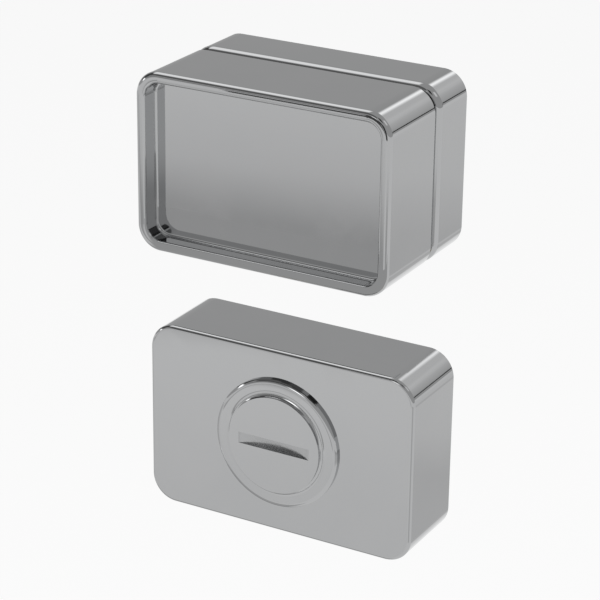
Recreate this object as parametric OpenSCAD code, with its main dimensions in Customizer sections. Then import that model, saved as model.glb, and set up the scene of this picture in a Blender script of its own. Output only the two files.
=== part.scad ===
// Bathroom door set: a rectangular turn knob with a dished front on its rose, and the
// release block with a coin slot that stands on the other face of the door.
// The origin is on the turn's spindle axis at the door face. +Z is up, and both fronts face -Y.

/* [Outline] */
// Width of the knob, the rose and the release block
rose_w = 50; // [50:1:70]
// Height of the knob, the rose and the release block
rose_h = 33; // [33:1:50]
// Radius of the outline's four corners
corner_r = 4.6; // [3.8:0.1:6]
// Radius that softens the front edges
edge_r = 0.6; // [0.3:0.1:1.2]
// Wall thickness of the shells
shell_t = 1.5; // [1.2:0.1:1.8]

/* [Depths] */
// Depth of the rose, from the door to its front
rose_d = 10.5; // [10.5:0.5:16]
// Gap between the rose and the knob
knob_gap = 1.8; // [0.6:0.1:2]
// Depth of the turn knob
knob_d = 16.5; // [16:0.5:26]
// Depth of the release block, from the door to its front
release_d = 14.5; // [14:0.5:20]

/* [Dished front] */
// Depth of the dish in the knob's front
dish_depth = 3.5; // [2:0.1:4.5]
// Width of the rim around the dish
dish_rim = 2; // [1.8:0.1:4]
// Radius of the dish's corners
dish_corner_r = 2.8; // [2:0.1:5]
// Thickness of the knob's metal behind the dish
dish_floor_t = 1.8; // [1.2:0.1:2]

/* [Coin release] */
// Outer diameter of the raised ring
ring_dia = 23; // [22.5:0.5:27]
// Height of the ring above the block's front
ring_rise = 0.8; // [0.4:0.1:1.2]
// Diameter of the turning disc
disc_dia = 18; // [17.5:0.1:19]
// Height of the disc above the ring
disc_rise = 0.8; // [0.4:0.1:1.2]
// Thickness of the disc
disc_t = 3.9; // [3.4:0.1:4.4]
// Wall of the ring's spigot in the block
ring_wall = 1.1; // [0.8:0.1:1.2]
// How far the spigot stands out inside the block
ring_tail = 0.5; // [0.3:0.1:0.5]
// Radius on the outer edge of the ring
ring_edge_r = 0.35; // [0.2:0.05:0.4]
// Radius on the outer edge of the disc
disc_edge_r = 0.7; // [0.3:0.1:0.8]
// Length of the coin slot at the disc's face
slot_l = 13.5; // [9:0.5:14]
// Width of the coin slot
slot_w = 2; // [1.2:0.1:2.6]
// Depth of the coin slot at its middle
slot_depth = 1.8; // [1.5:0.1:2.8]

/* [Spindle and journals] */
// Width of the square spindle
spindle_w = 5; // [4:0.5:6]
// Length of the spindle that stands out behind the door face
spindle_reach = 30; // [20:1:60]
// Depth of the spindle's socket in the stem's head
socket_in_head = 7; // [5:0.5:7.5]
// Diameter of the stem and of the disc's journal
journal_dia = 10; // [9:0.5:11]
// Radial clearance of a journal in its bush
running_fit = 0.03; // [0.01:0.01:0.08]
// Clearance at each side between pieces that don't move on each other
static_fit = 0.05; // [0.02:0.01:0.1]
// Radial gap where a journal passes through a piece that doesn't carry it
loose_fit = 0.5; // [0.3:0.1:0.6]
// Angle from the locked position to the open one
turn_angle = 90; // [45:5:120]
// Play between the stop peg and its notch, as an angle
stop_play = 1.5; // [1:0.5:3]
// Metal left between the disc and the spindle's socket in it
socket_floor_t = 1; // [0.8:0.1:1.5]

/* [Bearing stack] */
// Outer diameter of the bearing bushes
bush_dia = 13; // [12.5:0.5:14]
// Outer diameter of the bushes' flanges
bush_flange_dia = 16.5; // [15.5:0.5:17]
// Thickness of the bushes' flanges
bush_flange_t = 1; // [0.8:0.1:1.2]
// Thickness of the disc springs' metal
disc_spring_t = 0.4; // [0.3:0.1:0.5]
// Height of the disc springs as fitted
disc_spring_h = 0.7; // [0.6:0.1:0.9]
// Outer diameter of the disc springs
disc_spring_dia = 14; // [14:0.1:14.2]
// Thickness of the stop disc and of the release's washer
stop_disc_t = 1.2; // [1:0.1:1.4]
// Diameter of the stop disc
stop_disc_dia = 18; // [17.5:0.1:18.6]
// Diameter of the stop peg
stop_peg_dia = 1.8; // [1.4:0.1:2]
// Thickness of the retaining rings
circlip_t = 0.8; // [0.6:0.1:1]
// Depth of the groove that a retaining ring sits in
groove_depth = 1; // [0.8:0.1:1.2]
// Metal of the journal behind that groove
groove_land = 0.8; // [0.6:0.1:0.9]
// How far a retaining ring stands out around its journal
circlip_rise = 0.9; // [0.7:0.1:1.2]
// Radius of a retaining ring's ears
circlip_ear_r = 1.1; // [0.9:0.1:1.2]
// Width of a retaining ring's opening
circlip_gap = 1.8; // [1.4:0.1:2.2]
// Outer diameter of the thrust washer between knob and rose
thrust_washer_dia = 22; // [18:1:28]

/* [Base plates] */
// Thickness of the base plates
base_t = 5; // [4.8:0.1:5.4]
// Depth of the recess for the retaining ring, in the plate's back
recess_depth = 4; // [3.9:0.1:4.2]
// Diameter of that recess
recess_dia = 20; // [19.5:0.1:21]
// Width of the bearing housing
housing_w = 26; // [25:0.5:27]
// Height of the bearing housing
housing_h = 20; // [18:0.5:24]
// Corner radius of the bearing housing
housing_corner_r = 2; // [1:0.5:3]

/* [Detent] */
// Diameter of the detent balls
ball_dia = 2.5; // [2:0.1:2.6]
// How deep the balls' dimples go into the stem
dimple_depth = 0.35; // [0.2:0.05:0.5]
// Diameter of the detent springs' wire
spring_wire = 0.35; // [0.25:0.05:0.4]
// Turns of each detent spring
spring_turns = 5; // [3:1:6]
// Length of the set screws behind the springs
plug_l = 2; // [1.5:0.1:2.4]

/* [Fixings] */
// Distance from each side of the rose to its bolt through the door
bolt_inset = 6; // [5.8:0.1:7]
// Diameter of the holes for the bolts
bolt_hole_dia = 4.3; // [4.2:0.1:4.6]
// Diameter of the counterbores for the bolt heads
bolt_head_dia = 7.2; // [7:0.1:7.4]
// Depth of the counterbores
bolt_head_depth = 2.5; // [2:0.1:3]
// Outer diameter of the threaded inserts
insert_dia = 6; // [5.5:0.1:6.4]
// Length of the threaded inserts
insert_l = 10; // [8:0.5:10.5]
// Bore of the inserts' thread
insert_bore = 3.3; // [3.2:0.1:3.6]
// Wall of the plate around an insert
insert_wall = 1.2; // [1:0.1:1.3]
// Diameter of the screws that hold the shells on their plates
cover_screw_dia = 2.5; // [2:0.1:3]
// Length of those screws
cover_screw_l = 4; // [3:0.5:4.5]
// Diameter of the grub screw that clamps the spindle
grub_dia = 4; // [3:0.5:4]
// How far the screws lie below the surface they are turned in from
screw_inset = 0.5; // [0.3:0.1:0.8]

/* [Knob inside] */
// Thickness of the plate that closes the knob
back_plate_t = 2; // [1.6:0.1:2.4]
// Width of the stem's square head
stem_head_w = 14; // [12:0.5:15]
// Length of the stem's square head
stem_head_l = 8; // [8:0.1:9]
// Wall of the bosses inside the knob
boss_wall = 2.2; // [1.5:0.1:2.4]
// Distance from each side of the knob to its back plate's screw
plate_screw_inset = 7; // [6.5:0.1:8]
// Diameter of those screws
plate_screw_dia = 2.5; // [2:0.1:2.5]
// Diameter of their countersunk heads
plate_screw_head = 4.6; // [4:0.1:4.8]
// Length of those screws
plate_screw_l = 8; // [6:0.5:8.5]
// Width of the crossed recess in their heads
cross_w = 2.4; // [2:0.1:2.8]
// Width of one slot of that recess
cross_t = 0.6; // [0.4:0.1:0.8]
// Depth of that recess
cross_depth = 0.9; // [0.6:0.1:1]

/* [Arrangement] */
// How far the release block stands to the right of the turn
release_right = 15.5; // [0:0.5:40]
// How far the release block's centre is below the turn's
release_below = 36.75; // [36:0.25:80]
// How far the release block's front is ahead of the knob's
release_ahead = 19.7; // [19:0.1:40]

/* [Hidden] */
$fn = 64;
touch_gap = 0.05;
cut = 1;
knob_back = rose_d + knob_gap;
knob_front = knob_back + knob_d;
release_back = knob_front + release_ahead - release_d;
rose_inner_front = rose_d - shell_t;
rose_housing_top = rose_inner_front - bush_flange_t;
disc_top = release_d + ring_rise + disc_rise;
disc_seat = disc_top - disc_t;
release_housing_top = disc_seat - bush_flange_t;
ring_bore_r = disc_dia / 2 + running_fit;
ring_spigot_r = ring_bore_r + ring_wall;
journal_r = journal_dia / 2;
bush_bore_r = journal_r + running_fit;
clear_r = journal_r + loose_fit;
plate_w = rose_w - 2 * (shell_t + static_fit);
plate_h = rose_h - 2 * (shell_t + static_fit);
plate_corner_r = corner_r - shell_t - static_fit;
bolt_spacing = rose_w - 2 * bolt_inset;
plate_screw_spacing = rose_w - 2 * plate_screw_inset;
// The stack behind the bush, from the recess's floor towards the door
stop_disc_top = recess_depth - disc_spring_h - touch_gap;
stop_disc_back = stop_disc_top - stop_disc_t;
circlip_back = stop_disc_back - circlip_t;
journal_end = circlip_back - groove_land;
groove_r = journal_r - groove_depth;
flats_w = 2 * (groove_r + groove_depth / 5);
socket_w = spindle_w + 2 * static_fit;
// The knob's head of the stem sits on the back plate
head_seat = knob_back + back_plate_t;
head_top = head_seat + stem_head_l;
socket_end = head_seat + socket_in_head;
grub_level = head_seat + stem_head_l / 2;
dish_floor = knob_front - dish_depth;
knob_cavity_top = dish_floor - dish_floor_t;
peg_at_r = stop_disc_dia / 2 - stop_peg_dia / 2;
// The balls ride on the stem along a bore across the housing
ball_r = ball_dia / 2;
ball_bore_r = ball_r + static_fit;
ball_at = journal_r + touch_gap + ball_r;
ball_level = recess_depth + (rose_housing_top - recess_depth) / 2;
plug_at = housing_w / 2 - plug_l;

chrome = [0.74, 0.75, 0.76];
cast_metal = [0.62, 0.62, 0.6];
steel = [0.55, 0.56, 0.58];
brass = [0.78, 0.64, 0.32];
nylon = [0.9, 0.89, 0.85];

// Stands a unit up: its width stays on X, its height goes to Z, and its front faces -Y
module stand_turn() {
    rotate([90, 0, 0]) children();
}

module stand_release() {
    translate([release_right, -release_back, -release_below]) rotate([90, 0, 0]) children();
}

module at_both(spacing) {
    for (side = [-1, 1]) translate([side * spacing / 2, 0, 0]) children();
}

module rounded_rect(w, h, r) {
    square([w - 2 * r, h], center = true);
    square([w, h - 2 * r], center = true);
    for (x = [-1, 1], y = [-1, 1]) translate([x * (w / 2 - r), y * (h / 2 - r)]) circle(r);
}

module plate(w, h, r, from, to) {
    translate([0, 0, from]) linear_extrude(to - from) rounded_rect(w, h, r);
}

module rod(r, from, to) {
    translate([0, 0, from]) cylinder(r = r, h = to - from);
}

module tube(outer_r, inner_r, from, to) {
    difference() {
        rod(outer_r, from, to);
        rod(inner_r, from - cut, to + cut);
    }
}

module square_bar(w, from, to) {
    translate([-w / 2, -w / 2, from]) cube([w, w, to - from]);
}

// Section of a run of metal whose front edge is rounded
module edge_profile(run, d, e) {
    square([run, d - e]);
    square([run - e, d]);
    translate([run - e, d - e]) circle(e);
}

// Block with round corners and a softened front edge
module soft_block(w, h, r, d, e) {
    inner_w = w - 2 * r;
    inner_h = h - 2 * r;
    for (side = [0, 180])
        rotate(side) {
            translate([-inner_w / 2, 0, 0])
                rotate([90, 0, 90]) linear_extrude(inner_w) edge_profile(h / 2, d, e);
            translate([inner_w / 2, inner_h / 2, 0])
                rotate([90, 0, 0]) linear_extrude(inner_h) edge_profile(r, d, e);
        }
    for (x = [-1, 1], y = [-1, 1])
        translate([x * inner_w / 2, y * inner_h / 2, 0]) rotate_extrude() edge_profile(r, d, e);
}

// Round boss with a softened front edge
module soft_boss(r, from, to, e) {
    translate([0, 0, from]) rotate_extrude() edge_profile(r, to - from, e);
}

// Hole or screw from below, at the middle of a base plate's thickness
module from_below(level, outer, inner, r) {
    translate([0, -outer, level]) rotate([-90, 0, 0]) cylinder(r = r, h = outer - inner);
}

// Hexagonal socket, half as wide across its flats as its screw
module hex_socket(dia, depth) {
    translate([0, 0, -cut]) cylinder(r = dia / 4 / cos(30), h = depth + cut, $fn = 6);
}

// Set screw that stands in a hole from below, with its hex socket outwards
module set_screw(level, outer, l, dia) {
    translate([0, -outer, level]) rotate([-90, 0, 0]) difference() {
        cylinder(r = dia / 2, h = l);
        hex_socket(dia, dia / 2);
    }
}

module shell(d) {
    difference() {
        soft_block(rose_w, rose_h, corner_r, d, edge_r);
        plate(rose_w - 2 * shell_t, rose_h - 2 * shell_t, corner_r - shell_t, -cut, d - shell_t);
        from_below(base_t / 2, rose_h / 2 + cut, rose_h / 2 - shell_t - cut,
            cover_screw_dia / 2 + static_fit);
    }
}

module cover_screw() {
    set_screw(base_t / 2, rose_h / 2 - screw_inset, cover_screw_l, cover_screw_dia);
}

// Plate with the bearing housing; the bush's bore, the rear recess and the screw hole are cut
module base_plate(housing_top) {
    difference() {
        union() {
            plate(plate_w, plate_h, plate_corner_r, 0, base_t);
            plate(housing_w, housing_h, housing_corner_r, base_t - cut, housing_top);
            children();
        }
        rod(bush_dia / 2 + static_fit, -cut, housing_top + cut);
        rod(recess_dia / 2, -cut, recess_depth);
        from_below(base_t / 2, rose_h / 2, rose_h / 2 - screw_inset - cover_screw_l - static_fit,
            cover_screw_dia / 2 + static_fit);
    }
}

module bush(housing_top) {
    difference() {
        union() {
            rod(bush_dia / 2, recess_depth, housing_top + bush_flange_t);
            rod(bush_flange_dia / 2, housing_top, housing_top + bush_flange_t);
        }
        rod(bush_bore_r, 0, housing_top + bush_flange_t + cut);
    }
}

// Cone-shaped ring: its outer edge bears on the recess's floor, its inner edge on the stack
module disc_spring() {
    inner_r = clear_r;
    outer_r = disc_spring_dia / 2;
    low = recess_depth - disc_spring_h;
    rotate_extrude()
        polygon([[inner_r, low], [inner_r, low + disc_spring_t],
            [outer_r, recess_depth], [outer_r, recess_depth - disc_spring_t]]);
}

// Open retaining ring with an ear on each side of its gap
module circlip() {
    inner_r = groove_r + touch_gap;
    outer_r = journal_r + circlip_rise;
    ear_turn = asin((circlip_gap / 2 + circlip_ear_r / 2) / outer_r);
    translate([0, 0, circlip_back + touch_gap])
        linear_extrude(circlip_t - 2 * touch_gap) difference() {
            union() {
                circle(outer_r);
                for (side = [-1, 1])
                    rotate(90 + side * ear_turn) translate([outer_r, 0]) circle(circlip_ear_r);
            }
            circle(inner_r);
            translate([-circlip_gap / 2, 0]) square([circlip_gap, outer_r + 2 * circlip_ear_r]);
            for (side = [-1, 1])
                rotate(90 + side * ear_turn) translate([outer_r, 0]) circle(circlip_ear_r / 2);
        }
}

// Journal end with the flats for the stop disc and the retaining ring's groove
module journal(to) {
    difference() {
        rod(journal_r, journal_end, to);
        for (side = [0, 180])
            rotate(side) translate([flats_w / 2, -journal_r, journal_end - cut])
                cube([journal_r, journal_dia, stop_disc_top - journal_end + cut]);
        tube(journal_r + cut, groove_r, circlip_back, stop_disc_back);
    }
}

module turn_knob() {
    head_pocket_w = stem_head_w + 2 * static_fit;
    boss_w = head_pocket_w + 2 * boss_wall;
    screw_boss_r = plate_screw_dia / 2 + boss_wall;
    grub_boss_w = grub_dia + 2 * boss_wall;
    color(chrome) stand_turn() difference() {
        union() {
            difference() {
                translate([0, 0, knob_back]) soft_block(rose_w, rose_h, corner_r, knob_d, edge_r);
                plate(rose_w - 2 * dish_rim, rose_h - 2 * dish_rim, dish_corner_r,
                    dish_floor, knob_front + cut);
                plate(rose_w - 2 * shell_t, rose_h - 2 * shell_t, corner_r - shell_t,
                    knob_back - cut, knob_cavity_top);
            }
            square_bar(boss_w, head_seat, knob_cavity_top + dish_floor_t / 2);
            at_both(plate_screw_spacing) rod(screw_boss_r, head_seat, knob_cavity_top + dish_floor_t / 2);
            translate([-grub_boss_w / 2, -rose_h / 2 + shell_t / 2, head_seat])
                cube([grub_boss_w, rose_h / 2 - shell_t / 2, knob_cavity_top + dish_floor_t / 2 - head_seat]);
        }
        square_bar(head_pocket_w, head_seat - cut, head_top + static_fit);
        at_both(plate_screw_spacing)
            rod(plate_screw_dia / 2 + static_fit, head_seat - cut, knob_back + plate_screw_l + static_fit);
        from_below(grub_level, rose_h / 2 + cut, 0, grub_dia / 2 + static_fit);
    }
}

module knob_back_plate() {
    color(cast_metal) stand_turn() difference() {
        plate(plate_w, plate_h, plate_corner_r, knob_back, head_seat);
        rod(journal_r + static_fit, knob_back - cut, head_seat + cut);
        at_both(plate_screw_spacing) {
            rod(plate_screw_dia / 2 + static_fit, knob_back - cut, head_seat + cut);
            translate([0, 0, knob_back - static_fit]) countersink(static_fit);
        }
    }
}

// The cone of a countersunk head, widened by a clearance
module countersink(clearance) {
    head_r = plate_screw_head / 2 + clearance;
    shank_r = plate_screw_dia / 2;
    cylinder(r1 = head_r, r2 = shank_r, h = head_r - shank_r);
}

module knob_plate_screws() {
    color(steel) stand_turn() at_both(plate_screw_spacing) difference() {
        union() {
            translate([0, 0, knob_back]) countersink(0);
            rod(plate_screw_dia / 2, knob_back, knob_back + plate_screw_l);
        }
        for (turn = [0, 90])
            rotate(turn) translate([-cross_w / 2, -cross_t / 2, knob_back - cut])
                cube([cross_w, cross_t, cut + cross_depth]);
    }
}

module knob_stem() {
    color(steel) stand_turn() difference() {
        union() {
            journal(head_seat + cut);
            square_bar(stem_head_w, head_seat, head_top);
        }
        square_bar(socket_w, journal_end - cut, socket_end);
        from_below(grub_level, stem_head_w, 0, grub_dia / 2 + static_fit);
        for (side = [0 : 90 : 270])
            rotate(side) translate([ball_at - touch_gap - dimple_depth, 0, ball_level]) sphere(ball_r);
    }
}

module knob_grub_screw() {
    grub_l = rose_h / 2 - screw_inset - spindle_w / 2 - touch_gap;
    color(steel) stand_turn()
        set_screw(grub_level, rose_h / 2 - screw_inset, grub_l, grub_dia);
}

module spindle() {
    color(steel) stand_turn() square_bar(spindle_w, -spindle_reach, socket_end - static_fit);
}

module thrust_washer() {
    color(nylon) stand_turn() tube(thrust_washer_dia / 2, clear_r, rose_d, knob_back);
}

module rose_cover() {
    color(chrome) stand_turn() difference() {
        shell(rose_d);
        rod(clear_r, rose_inner_front - cut, rose_d + cut);
    }
}

module rose_base_plate() {
    color(cast_metal) stand_turn() {
        difference() {
            base_plate(rose_housing_top);
            at_both(bolt_spacing) {
                rod(bolt_hole_dia / 2, -cut, base_t + cut);
                rod(bolt_head_dia / 2, base_t - bolt_head_depth, base_t + cut);
            }
            translate([-housing_w, 0, ball_level]) rotate([0, 90, 0]) cylinder(r = ball_bore_r, h = 2 * housing_w);
        }
        rotate(90 - turn_angle / 2)
            translate([peg_at_r, 0, stop_disc_back]) cylinder(r = stop_peg_dia / 2, h = recess_depth - stop_disc_back);
    }
}

module rose_cover_screw() {
    color(steel) stand_turn() cover_screw();
}

module rose_bush() {
    color(nylon) stand_turn() difference() {
        bush(rose_housing_top);
        translate([-bush_dia, 0, ball_level]) rotate([0, 90, 0]) cylinder(r = ball_bore_r, h = 2 * bush_dia);
    }
}

module detent_balls() {
    color(steel) stand_turn()
        for (side = [-1, 1]) translate([side * ball_at, 0, ball_level]) sphere(ball_r);
}

// Coil of round wire with a six-sided section, wound by formula from one end to the other
module coil(r, wire, turns, l) {
    steps = 12 * turns;
    sides = 6;
    function ring_point(i, j) =
        let (a = 360 * i / 12, b = 360 * j / sides, at_r = r + wire / 2 * cos(b))
        [at_r * cos(a), at_r * sin(a), l * i / steps + wire / 2 * sin(b)];
    points = [for (i = [0 : steps], j = [0 : sides - 1]) ring_point(i, j)];
    walls = [for (i = [0 : steps - 1], j = [0 : sides - 1], half = [0, 1])
        let (k = (j + 1) % sides, a = i * sides, b = a + sides)
        half == 0 ? [a + j, b + j, b + k] : [a + j, b + k, a + k]];
    ends = [[for (j = [0 : sides - 1]) j], [for (j = [sides - 1 : -1 : 0]) steps * sides + j]];
    polyhedron(points, concat(walls, ends));
}

module detent_springs() {
    from = ball_at + ball_r + touch_gap + spring_wire / 2;
    to = plug_at - touch_gap - spring_wire / 2;
    color(steel) stand_turn() for (side = [0, 180])
        rotate(side) translate([from, 0, ball_level]) rotate([0, 90, 0])
            coil(ball_r - spring_wire / 2 - touch_gap, spring_wire, spring_turns, to - from);
}

module detent_plugs() {
    color(steel) stand_turn() for (side = [0, 180])
        rotate(side) translate([housing_w / 2, 0, ball_level]) rotate([0, -90, 0]) difference() {
            cylinder(r = ball_r, h = plug_l);
            hex_socket(ball_dia, plug_l / 2);
        }
}

module rose_disc_spring() {
    color(steel) stand_turn() disc_spring();
}

// Disc on the stem's flats, with a notch that lets the peg travel through the turn's angle
module stop_disc() {
    notch_r = stop_disc_dia / 2 - stop_peg_dia - 2 * static_fit;
    peg_half = asin(stop_peg_dia / 2 / peg_at_r) + stop_play;
    reach = stop_disc_dia;
    first = 90 + turn_angle / 2 + peg_half;
    last = 90 - turn_angle / 2 - peg_half;
    color(steel) stand_turn() translate([0, 0, stop_disc_back + touch_gap / 2])
        linear_extrude(stop_disc_t - touch_gap) difference() {
            circle(stop_disc_dia / 2);
            intersection() {
                circle(groove_r + groove_depth + static_fit);
                square([flats_w + 2 * static_fit, journal_dia + cut], center = true);
            }
            difference() {
                polygon([[0, 0], for (k = [0 : 4]) reach * [cos(first + (last - first) * k / 4),
                    sin(first + (last - first) * k / 4)]]);
                circle(notch_r);
            }
        }
}

module rose_circlip() {
    color(steel) stand_turn() circlip();
}

module release_cover() {
    color(chrome) stand_release() difference() {
        shell(release_d);
        rod(ring_spigot_r + static_fit, 0, release_d + cut);
    }
}

module release_ring() {
    ring_back = release_d - shell_t - ring_tail;
    color(chrome) stand_release() difference() {
        union() {
            soft_boss(ring_dia / 2, release_d, release_d + ring_rise, ring_edge_r);
            rod(ring_spigot_r, ring_back, release_d + ring_rise / 2);
        }
        rod(ring_bore_r, ring_back - cut, disc_top + cut);
    }
}

module release_disc() {
    slot_r = (slot_l * slot_l / 4 + slot_depth * slot_depth) / (2 * slot_depth);
    color(chrome) stand_release() difference() {
        union() {
            soft_boss(disc_dia / 2, disc_seat, disc_top, disc_edge_r);
            journal(disc_seat + cut);
        }
        square_bar(socket_w, journal_end - cut, disc_seat - socket_floor_t);
        translate([0, slot_w / 2, disc_top - slot_depth + slot_r])
            rotate([90, 0, 0]) cylinder(r = slot_r, h = slot_w, $fn = 128);
    }
}

module release_base_plate() {
    color(cast_metal) stand_release() difference() {
        base_plate(release_housing_top)
            at_both(bolt_spacing) rod(insert_dia / 2 + insert_wall, base_t - cut, insert_l);
        at_both(bolt_spacing) rod(insert_dia / 2 + static_fit, -cut, insert_l + cut);
    }
}

module release_inserts() {
    color(brass) stand_release() at_both(bolt_spacing) tube(insert_dia / 2, insert_bore / 2, 0, insert_l);
}

module release_cover_screw() {
    color(steel) stand_release() cover_screw();
}

module release_bush() {
    color(nylon) stand_release() bush(release_housing_top);
}

module release_disc_spring() {
    color(steel) stand_release() disc_spring();
}

module release_washer() {
    color(steel) stand_release()
        tube(disc_spring_dia / 2, journal_r + static_fit, stop_disc_back + touch_gap / 2, stop_disc_top - touch_gap / 2);
}

module release_circlip() {
    color(steel) stand_release() circlip();
}

turn_knob();
knob_back_plate();
knob_plate_screws();
knob_stem();
knob_grub_screw();
spindle();
thrust_washer();
rose_cover();
rose_base_plate();
rose_cover_screw();
rose_bush();
detent_balls();
detent_springs();
detent_plugs();
rose_disc_spring();
stop_disc();
rose_circlip();
release_cover();
release_ring();
release_disc();
release_base_plate();
release_inserts();
release_cover_screw();
release_bush();
release_disc_spring();
release_washer();
release_circlip();
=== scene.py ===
# Bathroom door set in polished chrome: a rectangular turn knob with a dished front on its rose, and
# the release block with a coin slot, which in use stands on the other face of the door.
# Lengths are in metres. +Z is up, both fronts face -Y, and the rose's back is at y = 0.

from math import asin, cos, pi, radians, sin

import bmesh
import bpy
from mathutils import Euler, Matrix, Vector


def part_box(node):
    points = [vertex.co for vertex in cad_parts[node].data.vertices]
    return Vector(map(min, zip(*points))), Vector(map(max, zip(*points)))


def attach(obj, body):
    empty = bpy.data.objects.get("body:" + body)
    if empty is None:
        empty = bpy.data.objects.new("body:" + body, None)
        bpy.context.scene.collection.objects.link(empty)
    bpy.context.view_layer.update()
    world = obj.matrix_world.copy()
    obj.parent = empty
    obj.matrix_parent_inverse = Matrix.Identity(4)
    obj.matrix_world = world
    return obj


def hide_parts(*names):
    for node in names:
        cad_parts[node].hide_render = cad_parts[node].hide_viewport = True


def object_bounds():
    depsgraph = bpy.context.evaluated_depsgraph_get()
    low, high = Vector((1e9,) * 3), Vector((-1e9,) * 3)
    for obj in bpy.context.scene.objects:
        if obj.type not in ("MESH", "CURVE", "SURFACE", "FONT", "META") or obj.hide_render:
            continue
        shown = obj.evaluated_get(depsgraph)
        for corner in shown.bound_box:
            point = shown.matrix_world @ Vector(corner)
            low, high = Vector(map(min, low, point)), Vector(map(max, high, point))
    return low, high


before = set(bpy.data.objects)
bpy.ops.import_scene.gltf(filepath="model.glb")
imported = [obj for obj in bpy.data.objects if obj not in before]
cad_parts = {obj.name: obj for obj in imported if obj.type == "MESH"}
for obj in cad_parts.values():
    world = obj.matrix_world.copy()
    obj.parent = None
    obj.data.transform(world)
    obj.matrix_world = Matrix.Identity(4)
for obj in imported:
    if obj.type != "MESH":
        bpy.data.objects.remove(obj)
cad_low, cad_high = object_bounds()
mm = 0.001

# Camera
# A long lens stands in front of the set, to its right and a little above it, so that the fronts,
# the tops and the right sides all show.
view_azimuth = radians(29.13)
view_elevation = radians(22.36)
view_roll = radians(0.76)
camera = bpy.data.objects.new("camera", bpy.data.cameras.new("camera"))
camera.data.lens = 140.8
camera.data.sensor_width = 36
camera.data.clip_start = 0.05
camera.location = (0.19006, -0.35484, 0.13399)
looking = Euler((pi / 2 - view_elevation, 0, view_azimuth)).to_matrix()
camera.rotation_euler = (looking @ Matrix.Rotation(view_roll, 3, "Z")).to_euler()
bpy.context.collection.objects.link(camera)
bpy.context.scene.camera = camera
bpy.context.scene.view_settings.view_transform = "Standard"

# Studio floor
# A wide sheet of pale paper lies well below the set, so the soft shadow falls straight down and
# out of the picture. It is white behind the set and a little greyer towards the front.
floor_level = -0.8
floor_reach = 9.0
floor_white = 1.0
floor_grey = 0.8
floor_glow = 0.88
grey_to_white_y = (-0.2, 0.8)
grey_to_white_x = (0.7, -0.3)
set_centre = (cad_low + cad_high) / 2


def new_shader(name):
    """Material with an empty node tree and its output node."""
    material = bpy.data.materials.new(name)
    material.use_nodes = True
    tree = material.node_tree
    tree.nodes.clear()
    return material, tree, tree.nodes.new("ShaderNodeOutputMaterial")


def add_node(tree, kind, inputs=None, **settings):
    """Node with its settings, and with each input set to a value or linked to a socket."""
    node = tree.nodes.new(kind)
    for name, value in settings.items():
        setattr(node, name, value)
    for key, value in (inputs or {}).items():
        if isinstance(value, bpy.types.NodeSocket):
            tree.links.new(value, node.inputs[key])
        else:
            node.inputs[key].default_value = value
    return node


def add_math(tree, operation, *values):
    """Math node on numbers or sockets, and its result's socket."""
    return add_node(tree, "ShaderNodeMath", dict(enumerate(values)), operation=operation).outputs[0]


def ease(tree, value, low, high, result_low=0.0, result_high=1.0):
    """How far a value is from low to high, eased at both ends and spread over the results."""
    inputs = {"Value": value, "From Min": low, "From Max": high,
        "To Min": result_low, "To Max": result_high}
    return add_node(tree, "ShaderNodeMapRange", inputs, interpolation_type="SMOOTHSTEP").outputs["Result"]


def mesh_object(name, bm):
    """Object whose mesh is taken from a bmesh, which is then freed."""
    mesh = bpy.data.meshes.new(name)
    bm.to_mesh(mesh)
    bm.free()
    made = bpy.data.objects.new(name, mesh)
    bpy.context.collection.objects.link(made)
    return made


bm = bmesh.new()
bmesh.ops.create_circle(bm, cap_ends=True, segments=96, radius=floor_reach)
bmesh.ops.translate(bm, vec=(0, 0, floor_level), verts=bm.verts)
floor = mesh_object("studio_floor", bm)
paper, tree, output = new_shader("floor_paper")
place = add_node(tree, "ShaderNodeNewGeometry").outputs["Position"]
across = add_node(tree, "ShaderNodeSeparateXYZ", {"Vector": place}).outputs
white_y = ease(tree, across["Y"], *grey_to_white_y)
white_x = ease(tree, across["X"], *grey_to_white_x)
tone = ease(tree, add_math(tree, "MULTIPLY", white_y, white_x), 0.0, 1.0, floor_grey, floor_white)
greys = {"Red": tone, "Green": tone, "Blue": tone}
paper_colour = add_node(tree, "ShaderNodeCombineColor", greys).outputs["Color"]
lit = add_node(tree, "ShaderNodeBsdfDiffuse", {"Color": paper_colour})
plain = add_node(tree, "ShaderNodeEmission", {"Color": paper_colour, "Strength": 1.0})
rays = add_node(tree, "ShaderNodeLightPath").outputs
seen = add_math(tree, "MAXIMUM", rays["Is Camera Ray"], rays["Is Glossy Ray"])
seen = add_math(tree, "MAXIMUM", seen, rays["Is Transmission Ray"])
seen = add_math(tree, "MULTIPLY", seen, floor_glow)
mixed = add_node(tree, "ShaderNodeMixShader", {0: seen, 1: lit.outputs[0], 2: plain.outputs[0]})
tree.links.new(mixed.outputs[0], output.inputs["Surface"])
floor.data.materials.append(paper)

# Studio walls
# The room round the set is plain light grey, as a tent of cloth gives it. Polished metal shows it
# wherever no card stands.
world = bpy.data.worlds.new("studio_walls")
bpy.context.scene.world = world
world.use_nodes = True
wall_tone = 0.43
world.node_tree.nodes["Background"].inputs["Color"].default_value = (wall_tone, wall_tone, wall_tone, 1)

# Studio lamps
# Two softboxes, one above that gives most of the light and one behind. Polished metal shows the cards
# in their place, so its lines stay soft. Each has its place, width in metres and power in watts.
softboxes = {
    "softbox_above": ((-0.45, -0.25, 1.35), 1.2, 14.0),
    "softbox_behind": ((0.9, 1.6, 1.1), 0.8, 10.0),
}
for name, (place, width, power) in softboxes.items():
    lamp = bpy.data.objects.new(name, bpy.data.lights.new(name, "AREA"))
    lamp.data.shape = "SQUARE"
    lamp.data.size = width
    lamp.data.energy = power
    lamp.location = place
    lamp.rotation_euler = (Vector(place) - set_centre).to_track_quat("Z", "Y").to_euler()
    lamp.visible_camera = False
    lamp.visible_glossy = False
    bpy.context.collection.objects.link(lamp)

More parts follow.
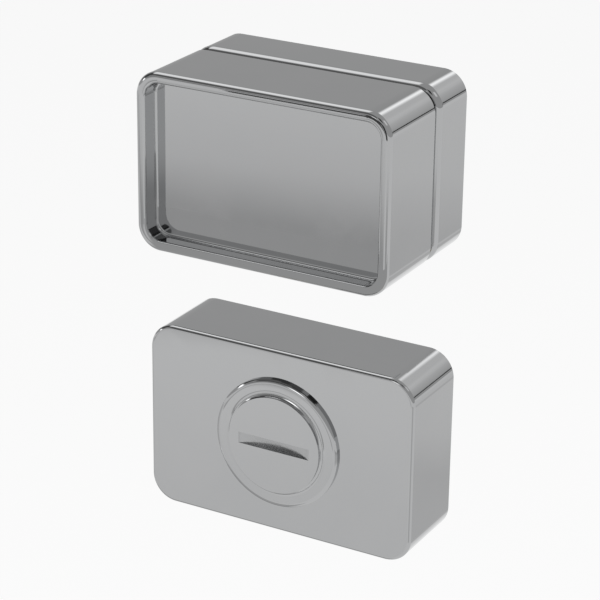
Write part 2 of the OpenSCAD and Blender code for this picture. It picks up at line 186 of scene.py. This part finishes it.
# Studio cards
# Grey, white and black cards stand round the set, out of the picture, and only polished metal
# shows them: it has no tone of its own, so its greys are the greys of these cards.


def even(tone):
    """Tones of a card that is the same all over."""
    return [(0.0, tone), (1.0, tone)]


def hang_card(name, place, facing, width, height, tones, feather, slant=0.0, turn=0.0):
    """Card whose glowing side faces one way, turned in its plane by some degrees. Its tones are pairs of
    height, 0 at its foot and 1 at its top, and grey. They slant across it, and feather is the part of its
    half width and height over which its edges fade out."""
    bm = bmesh.new()
    bmesh.ops.create_grid(bm, x_segments=1, y_segments=1, size=1)
    card = mesh_object(name, bm)
    card.location = place
    stand = facing.to_track_quat("Z", "Y").to_matrix()
    card.rotation_euler = (stand @ Matrix.Rotation(radians(turn), 3, "Z")).to_euler()
    card.scale = (width / 2, height / 2, 1)
    material, tree, output = new_shader(name)
    local = add_node(tree, "ShaderNodeTexCoord").outputs["Object"]
    sides = add_node(tree, "ShaderNodeSeparateXYZ", {"Vector": local}).outputs
    level = add_math(tree, "MULTIPLY_ADD", sides["X"], slant, sides["Y"])
    level = add_math(tree, "MULTIPLY_ADD", level, 0.5, 0.5)
    ramp = add_node(tree, "ShaderNodeValToRGB", {"Fac": level})
    points = ramp.color_ramp.elements
    while len(points) < len(tones):
        points.new(0.5)
    for point, (at, tone) in zip(points, tones):
        point.position = at
        point.color = (tone, tone, tone, 1)
    glow = add_node(tree, "ShaderNodeEmission", {"Color": ramp.outputs["Color"], "Strength": 1.0})
    behind = add_node(tree, "ShaderNodeNewGeometry").outputs["Backfacing"]
    fade = add_math(tree, "SUBTRACT", 1.0, behind)
    for side in ("X", "Y"):
        from_edge = add_math(tree, "SUBTRACT", 1.0, add_math(tree, "ABSOLUTE", sides[side]))
        fade = add_math(tree, "MULTIPLY", fade, ease(tree, from_edge, 0.0, feather))
    clear = add_node(tree, "ShaderNodeBsdfTransparent")
    mixed = add_node(tree, "ShaderNodeMixShader", {0: fade, 1: clear.outputs[0], 2: glow.outputs[0]})
    tree.links.new(mixed.outputs[0], output.inputs["Surface"])
    card.data.materials.append(material)
    card.visible_camera = False
    card.visible_diffuse = False
    card.visible_shadow = False


def hang_round(name, azimuth, elevation, distance, width, height, tones, feather, slant=0.0, turn=0.0):
    """Card that faces the set from some distance in metres. Its azimuth and elevation are in degrees, and
    its azimuth turns from the back towards the right."""
    azimuth, elevation = radians(azimuth), radians(elevation)
    away = Vector((sin(azimuth) * cos(elevation), cos(azimuth) * cos(elevation), sin(elevation)))
    hang_card(name, set_centre + distance * away, -away, width, height, tones, feather, slant, turn)


hang_round("card_front_low", -150, -23, 1.2, 1.1, 0.55, feather=0.1, slant=-0.28,
    tones=[(0.0, 0.72), (0.33, 0.73), (0.5, 0.8), (0.54, 0.46), (0.625, 0.44), (0.69, 0.68), (0.78, 0.75)])
hang_round("card_right_low", 27, -23, 1.25, 0.7, 0.6, feather=0.2,
    tones=[(0.28, 0.6), (0.33, 0.59), (0.38, 0.68), (0.46, 0.71),
        (0.53, 0.59), (0.6, 0.59), (0.67, 0.69), (0.8, 0.71)])
hang_round("card_edge_low", 140, -23, 1.2, 0.9, 0.5, feather=0.5,
    tones=[(0.0, 0.56), (0.5, 0.56), (0.64, 0.44), (0.66, 0.5), (0.685, 0.67), (0.71, 0.75)])
hang_round("card_left_low", -98, -22, 1.3, 0.9, 0.6, feather=0.3, tones=even(0.6))
hang_round("card_below", -105, -62, 0.8, 0.9, 0.8, feather=0.3, tones=even(0.48))
hang_round("card_corner", 22, 19, 1.35, 0.85, 0.98, feather=0.15,
    tones=[(0.07, 0.46), (0.2, 0.53), (0.33, 0.57), (0.45, 0.62), (0.55, 0.7), (0.65, 0.74), (0.75, 0.68)])
hang_round("strip_corner", -1, 32, 1.25, 0.34, 0.42, feather=0.95, tones=even(1.45))
hang_round("card_overhead", -80, 60, 1.3, 1.3, 0.85, feather=0.5, tones=even(1.2))
hang_round("card_right_high", 98, 46, 1.3, 0.9, 0.55, feather=0.5, tones=even(0.85))
hang_round("card_front_middle", -150, 8, 1.5, 1.4, 0.85, feather=0.1,
    tones=[(0.0, 0.6), (0.28, 0.6), (0.4, 0.28), (0.78, 0.28), (0.88, 0.6)])
hang_round("spot_left", -117, 8, 1.3, 0.75, 0.2, feather=0.8, turn=28, tones=even(2.3))
hang_round("spot_right", -168, 10, 1.3, 0.42, 0.36, feather=0.85, tones=even(2.4))
hang_round("flag_horizon", 33, 1, 1.3, 0.8, 0.06, feather=0.3, tones=even(0.03))
hang_round("flag_front", -147, 38, 1.4, 1.5, 0.72, feather=0.1, tones=even(0.14))
hang_round("flag_left", -98, 27, 1.5, 1.3, 1.05, feather=0.1, tones=even(0.08))
hang_round("flag_camera", 160, 40, 1.5, 0.46, 0.6, feather=0.1, tones=even(0.03))

# Cards near the units
# Each unit was lit by itself, so a card with two sides between them keeps each out of the other's
# reflections. Black ones in front are seen in the dish's corner and in the ring.
away_from_door = Vector((0, -1, 0))
towards_door = Vector((0, 1, 0))
divider_width = 60.5 * mm
divider_height = 9.5 * mm
divider_place = Vector((6.25 * mm, -31.5 * mm, -16.25 * mm))
divider_gap = Vector((0, 0.5 * mm, 0))
hang_card("card_behind_release", divider_place - divider_gap, away_from_door,
    divider_width, divider_height, tones=even(0.45), feather=0.05)
hang_card("card_before_knob", divider_place + divider_gap, towards_door,
    divider_width, divider_height, tones=even(0.45), feather=0.05)
hang_card("flag_dish_corner", Vector((16 * mm, -77 * mm, 16 * mm)), towards_door,
    width=40 * mm, height=16 * mm, tones=even(0.06), feather=0.05)
hang_card("flag_dish_edge", Vector((24 * mm, -76.5 * mm, 3 * mm)), towards_door,
    width=24 * mm, height=13 * mm, tones=even(0.06), feather=0.05)
hang_card("flag_before_ring", Vector((-21 * mm, -95 * mm, 0)), towards_door,
    width=50 * mm, height=14.5 * mm, tones=even(0.08), feather=0.03)

# Rose cover
# Pressed, polished and chromed shell that hides the base plate on the door. The knob turns just in
# front of it, and one screw from below holds it.
rose_edge_radius = 1.25 * mm
corner_radius = 4.6 * mm
shell_wall = 1.5 * mm
tiny = 0.01 * mm
weld_distance = 0.0005 * mm
base_thickness = 5 * mm
cover_screw_hole = 1.3 * mm
stem_opening = 5.5 * mm


def node_group(name, inputs, outputs):
    """Empty shader node group with its named sockets, and its inner input and output nodes."""
    group = bpy.data.node_groups.new(name, "ShaderNodeTree")
    for label, kind, value in inputs:
        socket = group.interface.new_socket(label, in_out="INPUT", socket_type=kind)
        if value is not None:
            socket.default_value = value
    for label, kind in outputs:
        group.interface.new_socket(label, in_out="OUTPUT", socket_type=kind)
    return group, group.nodes.new("NodeGroupInput").outputs, group.nodes.new("NodeGroupOutput").inputs


# Cloudy haze from polishing and handling, and the slow waves of a buffed or cast surface
handled, given, result = node_group("handled_surface",
    [("Vector", "NodeSocketVector", None), ("Scale", "NodeSocketFloat", 90.0)],
    [("Haze", "NodeSocketFloat"), ("Waves", "NodeSocketFloat")])
cloud = add_node(handled, "ShaderNodeTexNoise",
    {"Vector": given["Vector"], "Scale": given["Scale"], "Detail": 5.0, "Roughness": 0.6})
slow_scale = add_math(handled, "MULTIPLY", given["Scale"], 0.7)
slow = add_node(handled, "ShaderNodeTexNoise",
    {"Vector": given["Vector"], "Scale": slow_scale, "Detail": 1.0, "Roughness": 0.4})
handled.links.new(ease(handled, cloud.outputs["Fac"], 0.3, 0.75), result["Haze"])
handled.links.new(slow.outputs["Fac"], result["Waves"])


def metal(name, colour, worn_colour, roughness, worn_roughness, scale, wave_height, metallic=1.0):
    """Material whose colour and roughness drift with handling, and whose surface waves a little."""
    material, tree, output = new_shader(name)
    place = add_node(tree, "ShaderNodeTexCoord").outputs["Object"]
    surface = add_node(tree, "ShaderNodeGroup", node_tree=handled)
    surface.inputs["Scale"].default_value = scale
    tree.links.new(place, surface.inputs["Vector"])
    haze = surface.outputs["Haze"]
    tone = add_node(tree, "ShaderNodeMix",
        {"Factor": haze, "A": (*colour, 1), "B": (*worn_colour, 1)}, data_type="RGBA")
    rough = ease(tree, haze, 0.0, 1.0, roughness, worn_roughness)
    bump = add_node(tree, "ShaderNodeBump",
        {"Strength": 1.0, "Distance": wave_height, "Height": surface.outputs["Waves"]})
    shader = add_node(tree, "ShaderNodeBsdfPrincipled",
        {"Base Color": tone.outputs["Result"], "Metallic": metallic, "Roughness": rough,
        "Normal": bump.outputs["Normal"]})
    tree.links.new(shader.outputs[0], output.inputs["Surface"])
    return material


chrome = metal("polished_chrome", (0.545, 0.551, 0.557), (0.558, 0.562, 0.567),
    roughness=0.035, worn_roughness=0.075, scale=90.0, wave_height=0.006 * mm)


def add_block(bm, size, radius, low=0.0, hollow=False, steps=20):
    """Adds a block that stands on one level, with its four upright edges rounded. The walls of a hollow
    one face into it."""
    others = set(bm.faces)
    place = Matrix.Translation((0, 0, low)) @ Matrix.Diagonal((*size, 1)) @ Matrix.Translation((0, 0, 0.5))
    corners = bmesh.ops.create_cube(bm, size=1, matrix=place)["verts"]
    edges = {e for v in corners for e in v.link_edges}
    upright = [e for e in edges if abs(e.verts[0].co.z - e.verts[1].co.z) > tiny]
    round_over(bm, upright, radius, steps)
    if hollow:
        bmesh.ops.reverse_faces(bm, faces=[f for f in bm.faces if f not in others])


def round_over(bm, edges, radius, steps):
    """Rounds these edges to one radius."""
    bmesh.ops.bevel(bm, geom=edges, offset=radius, offset_type="OFFSET", segments=steps, profile=0.5,
        affect="EDGES", material=-1, clamp_overlap=True)
    bm.normal_update()


def is_level(part, level):
    """Whether all of a face's or an edge's corners are at one height."""
    return all(abs(v.co.z - level) < tiny for v in part.verts)


def join_rims(bm, level):
    """Takes out the two flat faces at one height and joins their outlines by a flat rim."""
    flats = [f for f in bm.faces if is_level(f, level)]
    bmesh.ops.delete(bm, geom=flats, context="FACES_ONLY")
    bmesh.ops.bridge_loops(bm, edges=[e for e in bm.edges if e.is_boundary and is_level(e, level)])
    bm.normal_update()


def wall_edges(bm, level, outward):
    """Edges at one height under or over a wall that faces away from the middle, or towards it. A face
    whose normal rises more than the most lean isn't a wall."""
    most_lean = 0.5
    found = []
    for edge in bm.edges:
        if is_level(edge, level):
            walls = [f for f in edge.link_faces if abs(f.normal.z) < most_lean]
            middle = (edge.verts[0].co + edge.verts[1].co) / 2
            if len(walls) == 1 and (walls[0].normal.dot(middle) > 0) == outward:
                found.append(edge)
    return found


def rod(radius, low, high, steps=96):
    """Bmesh of a closed cylinder between two heights."""
    bm = bmesh.new()
    bmesh.ops.create_cone(bm, cap_ends=True, segments=steps, radius1=radius, radius2=radius,
        depth=high - low, matrix=Matrix.Translation((0, 0, (low + high) / 2)))
    return bm


def rod_from_below(radius, level, outer, inner):
    """Bmesh of a closed cylinder that comes up through the underside at one level."""
    bm = rod(radius, -outer, -inner, steps=48)
    bmesh.ops.rotate(bm, matrix=Matrix.Rotation(-pi / 2, 3, "X"), verts=bm.verts)
    bmesh.ops.translate(bm, vec=(0, 0, level), verts=bm.verts)
    return bm


def cut_out(piece, other):
    """Cuts another bmesh out of the piece and keeps the result as its mesh."""
    tool = mesh_object("tool", other)
    modifier = piece.modifiers.new("cut", "BOOLEAN")
    modifier.operation = "DIFFERENCE"
    modifier.solver = "EXACT"
    modifier.object = tool
    whole = bpy.data.meshes.new_from_object(piece.evaluated_get(bpy.context.evaluated_depsgraph_get()))
    piece.modifiers.clear()
    piece.data = whole
    bpy.data.objects.remove(tool)


def finish_piece(piece, place, body, node, material, broken_edge):
    """Stands the piece up with its front towards -Y, breaks its sharp edges and puts it on its body."""
    sharp_angle = radians(35)
    bm = bmesh.new()
    bm.from_mesh(piece.data)
    bmesh.ops.remove_doubles(bm, verts=bm.verts, dist=weld_distance)
    bmesh.ops.rotate(bm, matrix=Matrix.Rotation(pi / 2, 3, "X"), verts=bm.verts)
    bmesh.ops.translate(bm, vec=place, verts=bm.verts)
    bmesh.ops.recalc_face_normals(bm, faces=bm.faces)
    for face in bm.faces:
        face.smooth = True
    for edge in bm.edges:
        edge.smooth = broken_edge > 0 or edge.calc_face_angle(0) < sharp_angle
    bm.to_mesh(piece.data)
    bm.free()
    if broken_edge > 0:
        broken = piece.modifiers.new("broken_edges", "BEVEL")
        broken.width = broken_edge
        broken.segments = 3
        broken.limit_method = "ANGLE"
        broken.angle_limit = sharp_angle
        broken.miter_outer = "MITER_ARC"
    normals = piece.modifiers.new("even_normals", "WEIGHTED_NORMAL")
    normals.keep_sharp = True
    piece.data.materials.clear()
    piece.data.materials.append(material)
    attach(piece, body)
    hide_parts(node)


def make_shell(name, node, edge_radius):
    """Shell with a rounded front edge, open towards the door, with its screw hole in the underside.
    Gives the piece, its size and the middle of its back."""
    low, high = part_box(node)
    size = Vector((high.x - low.x, high.z - low.z, high.y - low.y))
    bm = bmesh.new()
    add_block(bm, size, corner_radius)
    inside = size - Vector((2 * shell_wall, 2 * shell_wall, shell_wall))
    add_block(bm, inside, corner_radius - shell_wall, hollow=True)
    join_rims(bm, 0)
    round_over(bm, wall_edges(bm, size.z, outward=True), edge_radius, steps=10)
    shell = mesh_object(name, bm)
    hole = rod_from_below(cover_screw_hole, base_thickness / 2, size.y, size.y / 2 - 2 * shell_wall)
    cut_out(shell, hole)
    return shell, size, Vector(((low.x + high.x) / 2, high.y, (low.z + high.z) / 2))


rose, rose_size, rose_place = make_shell("rose_shell", "rose_cover", rose_edge_radius)
cut_out(rose, rod(stem_opening, rose_size.z / 2, rose_size.z * 2))
finish_piece(rose, rose_place, "rose", "rose_cover", chrome, broken_edge=0.1 * mm)

# Rose base plate
# Die-cast plate behind the cover, left as it comes from the mould: dull grey with a fine sandy skin
# and darker clouds. The door bolts pull it against the door.
cast = metal("cast_alloy", (0.56, 0.56, 0.54), (0.42, 0.42, 0.41),
    roughness=0.42, worn_roughness=0.6, scale=420.0, wave_height=0.05 * mm)


def finish_nodes(material, *names):
    """Gives CAD parts a material in place of their plain one."""
    for name in names:
        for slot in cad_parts[name].material_slots:
            slot.material = material


finish_nodes(cast, "rose_base_plate")

# Bush and thrust washer of the rose
# Moulded in natural nylon, a little milky and uneven in tone. The bush is pressed into the base
# plate and the washer runs between the rose and the knob.
nylon = metal("natural_nylon", (0.80, 0.79, 0.74), (0.70, 0.69, 0.63),
    roughness=0.42, worn_roughness=0.58, scale=300.0, wave_height=0.02 * mm, metallic=0.0)
finish_nodes(nylon, "rose_bush", "thrust_washer")

# Detent of the knob
# Hardened balls are pushed against the stem by small springs behind grub plugs, so the knob clicks
# at both ends of its turn. Balls and plugs are bright zinc-plated steel and the springs are blued.

# Fine lines left by the tool: rings about the y axis on turned parts, streaks along it on drawn ones
streak_slowness = 0.03
tool_marks, given, result = node_group("tool_marks",
    [("Vector", "NodeSocketVector", None), ("Scale", "NodeSocketFloat", 2500.0),
        ("Turned", "NodeSocketFloat", 1.0)],
    [("Marks", "NodeSocketFloat")])
part = add_node(tool_marks, "ShaderNodeSeparateXYZ", {"Vector": given["Vector"]}).outputs
squares = add_math(tool_marks, "MULTIPLY", part["X"], part["X"])
squares = add_math(tool_marks, "MULTIPLY_ADD", part["Z"], part["Z"], squares)
rings = add_node(tool_marks, "ShaderNodeCombineXYZ",
    {"X": add_math(tool_marks, "SQRT", squares), "Y": part["Y"]})
slow_y = add_math(tool_marks, "MULTIPLY", part["Y"], streak_slowness)
streaks = add_node(tool_marks, "ShaderNodeCombineXYZ", {"X": part["X"], "Y": slow_y, "Z": part["Z"]})
chosen = add_node(tool_marks, "ShaderNodeMix",
    {"Factor": given["Turned"], 4: streaks.outputs[0], 5: rings.outputs[0]}, data_type="VECTOR")
lines = add_node(tool_marks, "ShaderNodeTexNoise",
    {"Vector": chosen.outputs[1], "Scale": given["Scale"], "Detail": 3.0, "Roughness": 0.6})
tool_marks.links.new(lines.outputs["Fac"], result["Marks"])


def machined(name, colour, worn_colour, roughness, worn_roughness, centre, turned, mark_height):
    """Material of a turned, drawn or rolled part, with its tool marks set about one centre."""
    material = metal(name, colour, worn_colour, roughness, worn_roughness,
        scale=160.0, wave_height=0.01 * mm)
    tree = material.node_tree
    shader = next(node for node in tree.nodes if node.type == "BSDF_PRINCIPLED")
    place = add_node(tree, "ShaderNodeTexCoord").outputs["Object"]
    centred = add_node(tree, "ShaderNodeMapping", {"Vector": place, "Location": -centre})
    lines = add_node(tree, "ShaderNodeGroup", node_tree=tool_marks)
    lines.inputs["Turned"].default_value = turned
    tree.links.new(centred.outputs[0], lines.inputs["Vector"])
    bump = add_node(tree, "ShaderNodeBump", {"Strength": 1.0, "Distance": mark_height,
        "Height": lines.outputs["Marks"], "Normal": shader.inputs["Normal"].links[0].from_socket})
    tree.links.new(bump.outputs["Normal"], shader.inputs["Normal"])
    return material


turn_centre = Vector((0, 0, 0))
zinc = ((0.58, 0.60, 0.62), (0.50, 0.50, 0.47))
blued = ((0.30, 0.31, 0.34), (0.22, 0.21, 0.21))
turned_steel = machined("turned_steel", *zinc, roughness=0.22, worn_roughness=0.4,
    centre=turn_centre, turned=1.0, mark_height=0.008 * mm)
drawn_steel = machined("drawn_steel", *zinc, roughness=0.25, worn_roughness=0.42,
    centre=turn_centre, turned=0.0, mark_height=0.01 * mm)
spring_steel = machined("blued_spring_steel", *blued, roughness=0.25, worn_roughness=0.42,
    centre=turn_centre, turned=0.0, mark_height=0.006 * mm)
finish_nodes(drawn_steel, "detent_balls", "detent_plugs")
finish_nodes(spring_steel, "detent_springs")

# Turn knob
# Die-cast and chromed block with a dished front. It is hollow behind, where a plate closes it
# round the stem, and a grub screw from below clamps the spindle.
dish_rim = 2 * mm
dish_depth = 3.5 * mm
dish_corner_radius = 2.8 * mm
dish_floor_thickness = 1.8 * mm
dish_lip_radius = 0.5 * mm
knob_edge_radius = 0.95 * mm
grub_hole = 2.05 * mm
grub_level = 6 * mm
knob_low, knob_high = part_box("turn_knob")
knob_size = Vector((knob_high.x - knob_low.x, knob_high.z - knob_low.z, knob_high.y - knob_low.y))
dish_floor = knob_size.z - dish_depth
bm = bmesh.new()
add_block(bm, knob_size, corner_radius)
dish_size = knob_size - Vector((2 * dish_rim, 2 * dish_rim, dish_floor))
hollow_size = knob_size - Vector((2 * shell_wall, 2 * shell_wall, dish_depth + dish_floor_thickness))
add_block(bm, dish_size, dish_corner_radius, dish_floor, hollow=True)
add_block(bm, hollow_size, corner_radius - shell_wall, hollow=True)
join_rims(bm, 0)
join_rims(bm, knob_size.z)
round_over(bm, wall_edges(bm, knob_size.z, outward=True), knob_edge_radius, steps=8)
round_over(bm, wall_edges(bm, knob_size.z, outward=False), dish_lip_radius, steps=5)
round_over(bm, wall_edges(bm, dish_floor, outward=False), dish_lip_radius, steps=5)
knob = mesh_object("dished_knob", bm)
grub_bore = rod_from_below(grub_hole, grub_level, knob_size.y, knob_size.y / 2 - 2 * shell_wall)
cut_out(knob, grub_bore)
knob_place = Vector((0, knob_high.y, 0))
finish_piece(knob, knob_place, "knob", "turn_knob", chrome, broken_edge=0.15 * mm)

# Knob's back plate and screws
# Cast plate that closes the hollow knob round the stem, and the countersunk screws that hold it.
# These and the grub screw are zinc-plated steel.
finish_nodes(cast, "knob_back_plate")
finish_nodes(drawn_steel, "knob_plate_screws", "knob_grub_screw")

# Stem and spindle
# The turned stem carries the knob through the rose. The drawn square bar runs through it into the
# lock, and the grub screw in the knob clamps it.
finish_nodes(turned_steel, "knob_stem")
finish_nodes(drawn_steel, "spindle")

# Rear bearing of the turn
# On the door side of the rose a steel disc stops the turn at both ends, a disc spring takes up the
# play and a snapped-on ring holds the stem.
finish_nodes(turned_steel, "stop_disc")
finish_nodes(spring_steel, "rose_disc_spring", "rose_circlip")

# Cover screws
# One short screw from below holds each cover to its base plate. They are zinc-plated steel, like
# the knob's.
finish_nodes(drawn_steel, "rose_cover_screw", "release_cover_screw")

# Release block's cover
# Chromed shell like the rose's but deeper, with a round opening in its front for the ring. One screw
# from below holds it on its base plate.
ring_opening = 10.18 * mm
release_edge_radius = 0.6 * mm
release, release_size, release_place = make_shell("release_shell", "release_cover", release_edge_radius)
cut_out(release, rod(ring_opening, release_size.z / 2, release_size.z * 2))
finish_piece(release, release_place, "rose", "release_cover", chrome,
    broken_edge=0.1 * mm)

# Release ring
# Turned and chromed collar that sits in the block's front and guides the disc. Its outer edge is an
# arc, and its face bends down towards the disc in a hollow cove.
ring_radius = 11.5 * mm
ring_bore = 9.03 * mm
ring_spigot = 10.13 * mm
ring_edge_bend = 1.15 * mm
cove_bend = 2.2 * mm
cove_reach = 9.6 * mm
steepest = radians(45)
ring_steps = 256
ring_low, ring_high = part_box("release_ring")
ring_front = release_place.y - ring_low.y
ring_back = release_place.y - ring_high.y
ring_seat = release_size.z


def turn_on_lathe(bm, outline, steps):
    """Turns a closed outline of radius and height pairs about the z axis."""
    points = [bm.verts.new((radius, 0, level)) for radius, level in outline]
    edges = [bm.edges.new((points[k - 1], points[k])) for k in range(len(points))]
    bmesh.ops.spin(bm, geom=points + edges, axis=(0, 0, 1), cent=(0, 0, 0), angle=2 * pi,
        steps=steps, use_merge=True)
    bmesh.ops.recalc_face_normals(bm, faces=bm.faces)


def arc_points(start, bend, low_tilt, high_tilt, steps=12):
    """Radius and height pairs along an arc that leaves its start at one tilt and ends at another, both in
    radians off level. A bend below zero makes it hollow."""
    radius, level = start[0] - bend * sin(low_tilt), start[1] + bend * (1 - cos(low_tilt))
    tilts = [low_tilt + (high_tilt - low_tilt) * k / steps for k in range(steps + 1)]
    return [(radius + bend * sin(tilt), level - bend * (1 - cos(tilt))) for tilt in tilts]


bm = bmesh.new()
cove_start = (cove_reach, ring_front)
cove = arc_points(cove_start, -cove_bend, 0, asin((cove_reach - ring_bore) / cove_bend))
edge = arc_points((ring_radius - ring_edge_bend * sin(steepest), ring_front), ring_edge_bend, 0, steepest)
turn_on_lathe(bm, [(ring_bore, ring_back), *reversed(cove), *edge, (ring_radius, ring_seat),
    (ring_spigot, ring_seat), (ring_spigot, ring_back)], ring_steps)
ring = mesh_object("release_collar", bm)
finish_piece(ring, release_place, "rose", "release_ring", chrome, broken_edge=0)

# Release disc
# Turned disc whose hollow flank carries on the ring's, with a coin slot milled across its face. Its
# journal runs in the bush behind and takes the square spindle.
shoulder_bend = 0.6 * mm
shoulder_tilt = radians(21)
disc_low, disc_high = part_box("release_disc")
disc_radius = (disc_high.x - disc_low.x) / 2
disc_top = release_place.y - disc_low.y
disc_thickness = 3.9 * mm
disc_seat = disc_top - disc_thickness
journal_radius = 5 * mm
journal_end = release_place.y - disc_high.y
groove_radius = 4 * mm
groove_low = 1.25 * mm
groove_high = 2.05 * mm
flats_width = 8.4 * mm
flats_top = 3.25 * mm
flats_cut = 4 * mm
socket_width = 5.1 * mm
socket_end_wall = 1 * mm
socket_top = disc_seat - socket_end_wall
slot_length = 13.5 * mm
slot_width = 2 * mm
slot_depth = 1.15 * mm
slot_wheel = (slot_length ** 2 / 4 + slot_depth ** 2) / (2 * slot_depth)
bm = bmesh.new()
foot_tilt = asin((cove_reach - disc_radius) / cove_bend)
foot = arc_points(cove_start, -cove_bend, 0, foot_tilt)[-1]
flank = arc_points(foot, -cove_bend, foot_tilt, shoulder_tilt)
shoulder = arc_points(flank[-1], -shoulder_bend, shoulder_tilt, steepest)
journal = [(0, journal_end), (journal_radius, journal_end), (journal_radius, groove_low),
    (groove_radius, groove_low), (groove_radius, groove_high), (journal_radius, groove_high),
    (journal_radius, disc_seat)]
head = [(disc_radius, disc_seat), *flank, *shoulder[1:], (shoulder[-1][0], disc_top), (0, disc_top)]
turn_on_lathe(bm, journal + head, ring_steps)
bmesh.ops.remove_doubles(bm, verts=bm.verts, dist=weld_distance)
bmesh.ops.dissolve_faces(bm, faces=[f for f in bm.faces if is_level(f, disc_top)])
disc = mesh_object("coin_disc", bm)
wheel = rod(slot_wheel, -slot_width / 2, slot_width / 2, steps=160)
bmesh.ops.rotate(wheel, matrix=Matrix.Rotation(pi / 2, 3, "X"), verts=wheel.verts)
bmesh.ops.translate(wheel, vec=(0, 0, disc_top - slot_depth + slot_wheel), verts=wheel.verts)
cut_out(disc, wheel)
socket = bmesh.new()
bmesh.ops.create_cube(socket, size=1, matrix=Matrix.Translation((0, 0, socket_top / 2)) @
    Matrix.Diagonal((socket_width, socket_width, socket_top, 1)))
cut_out(disc, socket)
for side in (-1, 1):
    flat = bmesh.new()
    beside = side * (flats_width / 2 + flats_cut / 2)
    bmesh.ops.create_cube(flat, size=1, matrix=Matrix.Translation((beside, 0, 0)) @
        Matrix.Diagonal((flats_cut, 4 * journal_radius, 2 * flats_top, 1)))
    cut_out(disc, flat)
finish_piece(disc, release_place, "disc", "release_disc", chrome,
    broken_edge=0.2 * mm)
milled = metal("milled_chrome", (0.50, 0.505, 0.51), (0.54, 0.545, 0.55),
    roughness=0.2, worn_roughness=0.3, scale=400.0, wave_height=0.01 * mm)
disc.data.materials.append(milled)
slot_middle = Vector((release_place.x, disc_low.y + slot_depth / 2, release_place.z))
for face in disc.data.polygons:
    away = face.center - slot_middle
    within_length = abs(away.x) < slot_length / 2
    within_depth = abs(away.y) < slot_depth / 2 - tiny / 2
    within_width = abs(away.z) <= slot_width / 2 + tiny
    if within_length and within_depth and within_width:
        face.material_index = 1

# Release base plate and inserts
# The deep cast plate inside the block, with two turned brass inserts that take the bolts which come
# through the door from the knob's side.
finish_nodes(cast, "release_base_plate")
release_centre = Vector((release_place.x, 0, release_place.z))
brass = machined("turned_brass", (0.78, 0.62, 0.30), (0.60, 0.46, 0.22),
    roughness=0.2, worn_roughness=0.38, centre=release_centre, turned=0.0, mark_height=0.01 * mm)
finish_nodes(brass, "release_inserts")

# Bearing of the release disc
# The disc's journal runs in a nylon bush, and a disc spring, a washer and a snapped-on ring hold it
# from the door side.
washer_steel = machined("turned_washer_steel", *zinc, roughness=0.22, worn_roughness=0.4,
    centre=release_centre, turned=1.0, mark_height=0.008 * mm)
finish_nodes(nylon, "release_bush")
finish_nodes(washer_steel, "release_washer")
finish_nodes(spring_steel, "release_disc_spring", "release_circlip")
